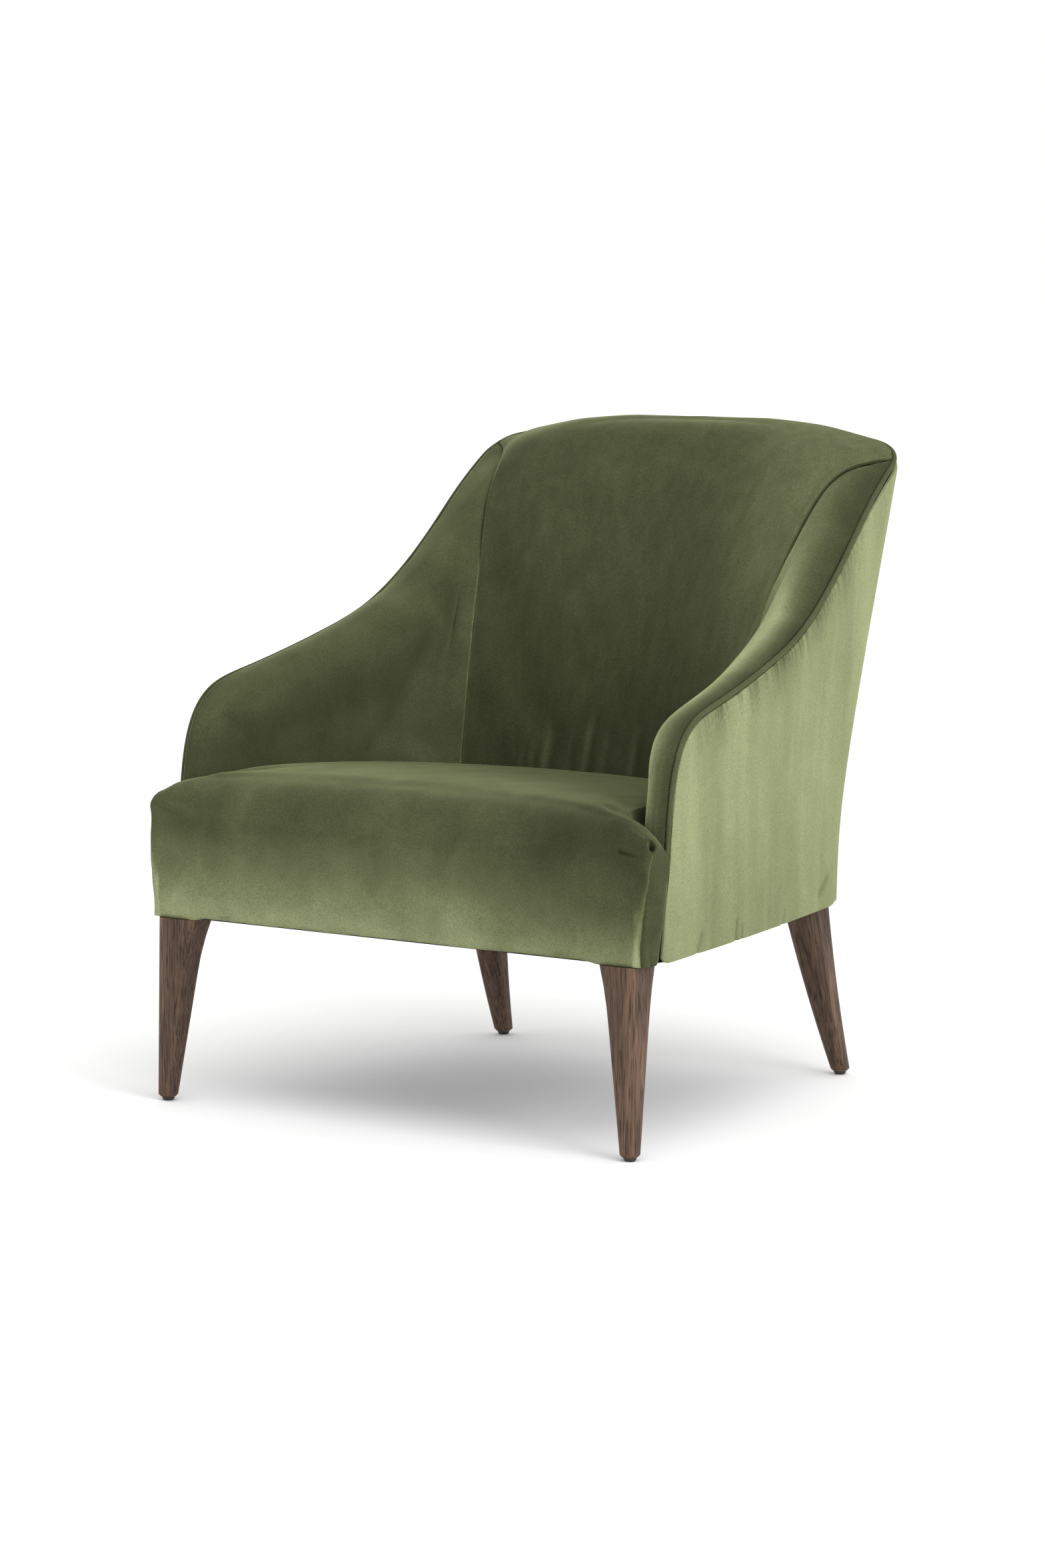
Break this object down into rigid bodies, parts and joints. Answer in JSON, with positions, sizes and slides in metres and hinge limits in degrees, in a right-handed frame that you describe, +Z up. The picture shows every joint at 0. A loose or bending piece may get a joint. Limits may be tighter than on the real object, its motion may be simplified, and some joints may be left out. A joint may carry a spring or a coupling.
{
  "type": "upholstered lounge chair",
  "caption": "Upholstered lounge chair with a tight seat, one piped rim sweeping from low arms to a curved back, and tapered wooden legs.",
  "frame": {"origin": "middle of the footprint on the floor, under the glides", "axes": "+Z up, the chair faces -Y, +X is the sitter's left"},
  "size_m": [0.694, 0.7001, 0.7955],
  "materials": {
    "velvet": "cut pile, soft sheen",
    "walnut": "dark stained, satin",
    "glide": "matte",
    "beech": "planed, unfinished",
    "plywood": "unfinished",
    "steel": "zinc plated",
    "felt": "needled pad",
    "foam": "open cell foam",
    "webbing": "woven elastic",
    "lining": "spunbond cloth"
  },
  "bodies": {
    "root": {"leg_front_left": "walnut", "leg_front_right": "walnut", "leg_rear_left": "walnut", "leg_rear_right": "walnut", "leg_glides": "glide", "hanger_bolts": "steel", "corner_blocks": "beech", "front_rail": "beech", "rear_rail": "beech", "side_rail_left": "beech", "side_rail_right": "beech", "arm_post_left": "beech", "arm_post_right": "beech", "arm_panel_left": "plywood", "arm_panel_right": "plywood", "back_post_left": "beech", "back_post_right": "beech", "crest_rail": "beech", "lower_back_rail": "beech", "arm_liner_left": "beech", "arm_liner_right": "beech", "frame_screws": "steel", "seat_springs": "steel", "spring_clips": "steel", "spring_ties": "steel", "deck_pad": "felt", "seat_foam": "foam", "back_webbing": "webbing", "back_foam": "foam", "arm_foam_left": "foam", "arm_foam_right": "foam", "dust_cover": "lining", "seat_cover": "velvet", "inside_back": "velvet", "inside_arm_left": "velvet", "inside_arm_right": "velvet", "outside_arm_left": "velvet", "outside_arm_right": "velvet", "outside_back": "velvet", "welt_cord": "velvet"}
  },
  "joints": []
}
